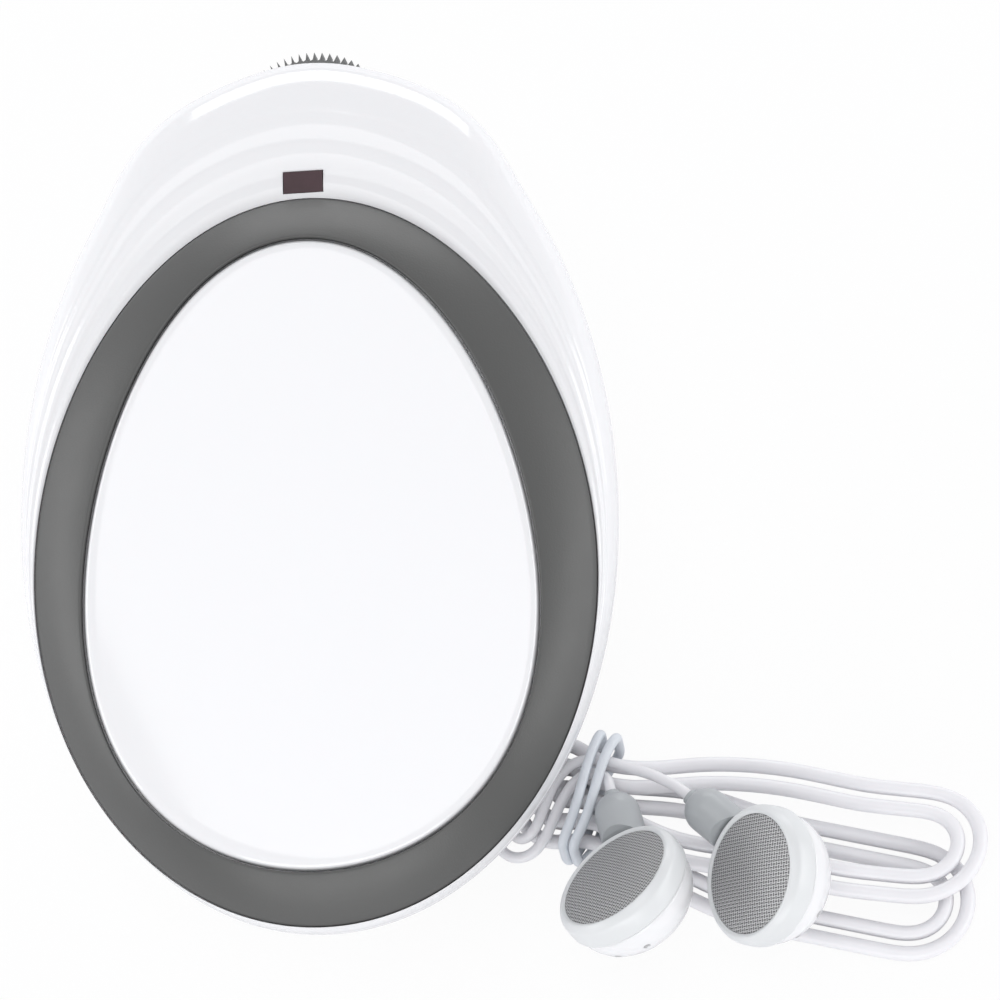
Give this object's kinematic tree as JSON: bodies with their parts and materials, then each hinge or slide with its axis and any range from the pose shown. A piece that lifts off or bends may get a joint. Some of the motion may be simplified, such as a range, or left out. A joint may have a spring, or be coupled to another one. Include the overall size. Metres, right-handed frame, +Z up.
{
  "type": "fetal doppler monitor",
  "caption": "Egg-shaped hand-held heartbeat monitor with a tilted face, round probe lens, thumbwheel, sockets and wired earphones in a tied hank.",
  "frame": {"origin": "centre of the round probe face, on the surface that the part stands on", "axes": "+X to the right of the face, +Y towards the thumbwheel end, +Z up through the housing"},
  "size_m": [0.1194, 0.1182, 0.0439],
  "materials": {
    "white_gloss": "gloss",
    "grey_satin": "satin",
    "red_lens": "gloss",
    "red_led": "gloss",
    "circuit_green": "satin",
    "chip_black": "matte",
    "wheel_grey": "satin",
    "jack_black": "satin",
    "steel": "satin",
    "battery_case": "satin",
    "tray_grey": "satin",
    "lead_red": "satin",
    "lens_grey": "satin",
    "ceramic": "matte",
    "backing": "matte",
    "plug_metal": "polished",
    "cord_white": "satin",
    "tie_white": "satin",
    "cap_grey": "satin",
    "mesh_grey": "satin",
    "bud_white": "gloss",
    "stem_grey": "satin"
  },
  "bodies": {
    "housing": {"front_cover": "white_gloss", "rear_cover": "white_gloss", "accent_ring": "grey_satin", "led_window": "red_lens", "indicator_led": "red_led", "control_board": "circuit_green", "volume_control": "chip_black", "jack_left": "jack_black", "jack_right": "jack_black", "battery": "battery_case", "battery_tray": "tray_grey", "battery_snap": "chip_black", "battery_leads": "lead_red", "main_board": "circuit_green", "board_parts": "chip_black", "board_screws": "steel", "case_screws": "steel", "probe_lens": "lens_grey", "transmit_crystal": "ceramic", "receive_crystal": "ceramic", "probe_cup": "backing", "probe_leads": "chip_black", "plug_contacts": "plug_metal", "plug_body": "cord_white", "plug_lead": "cord_white", "lead_hank": "cord_white", "hank_tie": "tie_white", "y_splitter": "cord_white", "ear_lead_left": "cord_white", "ear_lead_right": "cord_white", "bud_cap_left": "cap_grey", "bud_mesh_left": "mesh_grey", "bud_rear_left": "bud_white", "bud_driver_left": "backing", "bud_stem_left": "stem_grey", "bud_cap_right": "cap_grey", "bud_mesh_right": "mesh_grey", "bud_rear_right": "bud_white", "bud_driver_right": "backing", "bud_stem_right": "stem_grey"},
    "volume_wheel": {"volume_wheel": "wheel_grey", "wheel_screw": "steel"},
    "battery_cover": {"battery_cover": "white_gloss"}
  },
  "joints": [
    {"name": "volume_wheel_turn", "type": "hinge", "parent": "housing", "child": "volume_wheel", "pos_m": [0, 0.0484, 0.03187], "axis": [0, -0.2419, 0.9703], "range_deg": [0, 300]},
    {"name": "battery_cover_lift", "type": "slide", "parent": "housing", "child": "battery_cover", "axis": [0, -0.2419, 0.9703], "range_m": [0, 0.03]}
  ]
}
